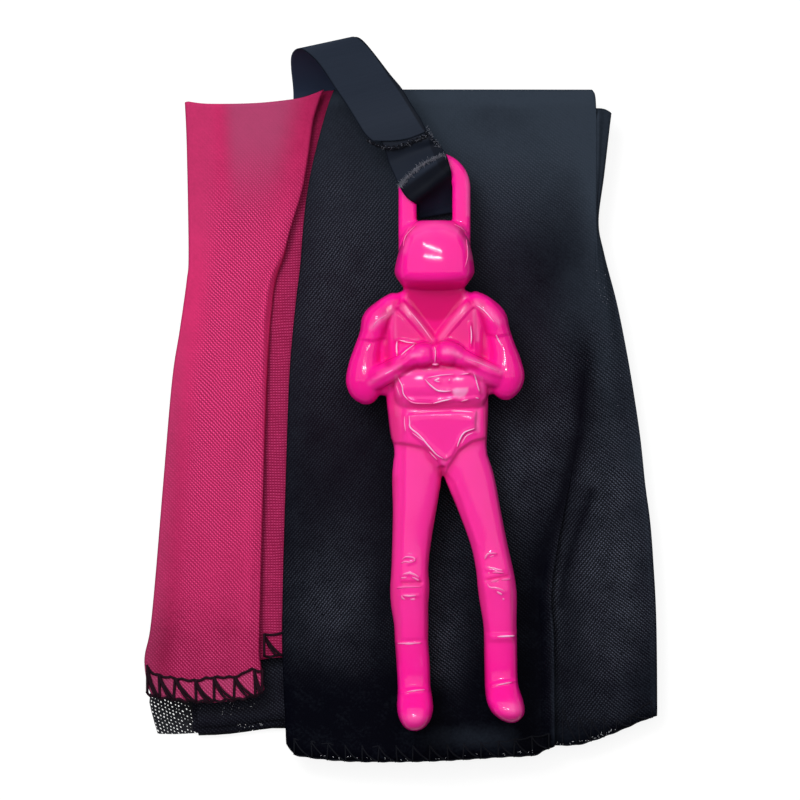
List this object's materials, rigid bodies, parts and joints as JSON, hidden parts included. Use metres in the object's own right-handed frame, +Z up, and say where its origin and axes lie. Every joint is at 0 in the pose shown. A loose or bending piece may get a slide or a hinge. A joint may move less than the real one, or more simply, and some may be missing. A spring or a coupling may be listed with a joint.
{
  "type": "toy parachute",
  "caption": "Toy parachute folded flat: pink and black cloth canopy with a mesh gore, a ribbon bridle sewn to a loop, and a moulded plastic skydiver hung from it by an eyelet.",
  "frame": {"origin": "on the table, under the middle of the folded toy", "axes": "+X across the folded canopy, +Y along it from the hem towards the ribbon, +Z up off the table"},
  "size_m": [0.1027, 0.1456, 0.0215],
  "materials": {
    "pink_cloth": "thin plain-woven nylon, slightly sheer",
    "black_cloth": "thin plain-woven nylon with a soft sheen",
    "mesh": "open knitted mesh",
    "thread": "twisted sewing thread",
    "ribbon": "satin ribbon",
    "figure_plastic": "glossy moulded plastic"
  },
  "bodies": {
    "canopy": {"mesh_gore": "mesh", "black_gore_back_folds": "black_cloth", "black_gore_middle_folds": "black_cloth", "black_gore_front_panel": "black_cloth", "black_gore_side_fold": "black_cloth", "pink_gore_inner_fold": "pink_cloth", "pink_inner_hem_thread": "thread", "front_panel_hem_thread": "thread", "side_fold_hem_thread": "thread", "bridle_back_strip": "ribbon", "bridle_anchor_stitches": "thread"},
    "pink_flap": {"pink_gore_front_flap": "pink_cloth", "pink_flap_hem_thread": "thread"},
    "bridle": {"bridle_front_strip": "ribbon", "bridle_tack_stitches": "thread"},
    "eyelet_loop": {"eyelet_loop_ribbon": "ribbon"},
    "figure": {"figure": "figure_plastic"}
  },
  "joints": [
    {"name": "pink_flap_fold", "type": "hinge", "parent": "canopy", "child": "pink_flap", "pos_m": [-0.04345, 0.0622, 0.0057], "axis": [-0.0679, -0.9977, 0], "range_deg": [0, 150]},
    {"name": "bridle_fold", "type": "hinge", "parent": "canopy", "child": "bridle", "pos_m": [-0.01455, 0.07147, 0.01741], "axis": [-0.9563, -0.2924, 0], "range_deg": [0, 90]},
    {"name": "loop_swivel", "type": "hinge", "parent": "bridle", "child": "eyelet_loop", "pos_m": [-0.00103, 0.0536, 0.01525], "axis": [0, 0, 1], "range_deg": [-12, 12]},
    {"name": "figure_swing", "type": "hinge", "parent": "eyelet_loop", "child": "figure", "pos_m": [0.007, 0.0476, 0.01365], "axis": [-1, 0, 0], "range_deg": [0, 85]}
  ]
}
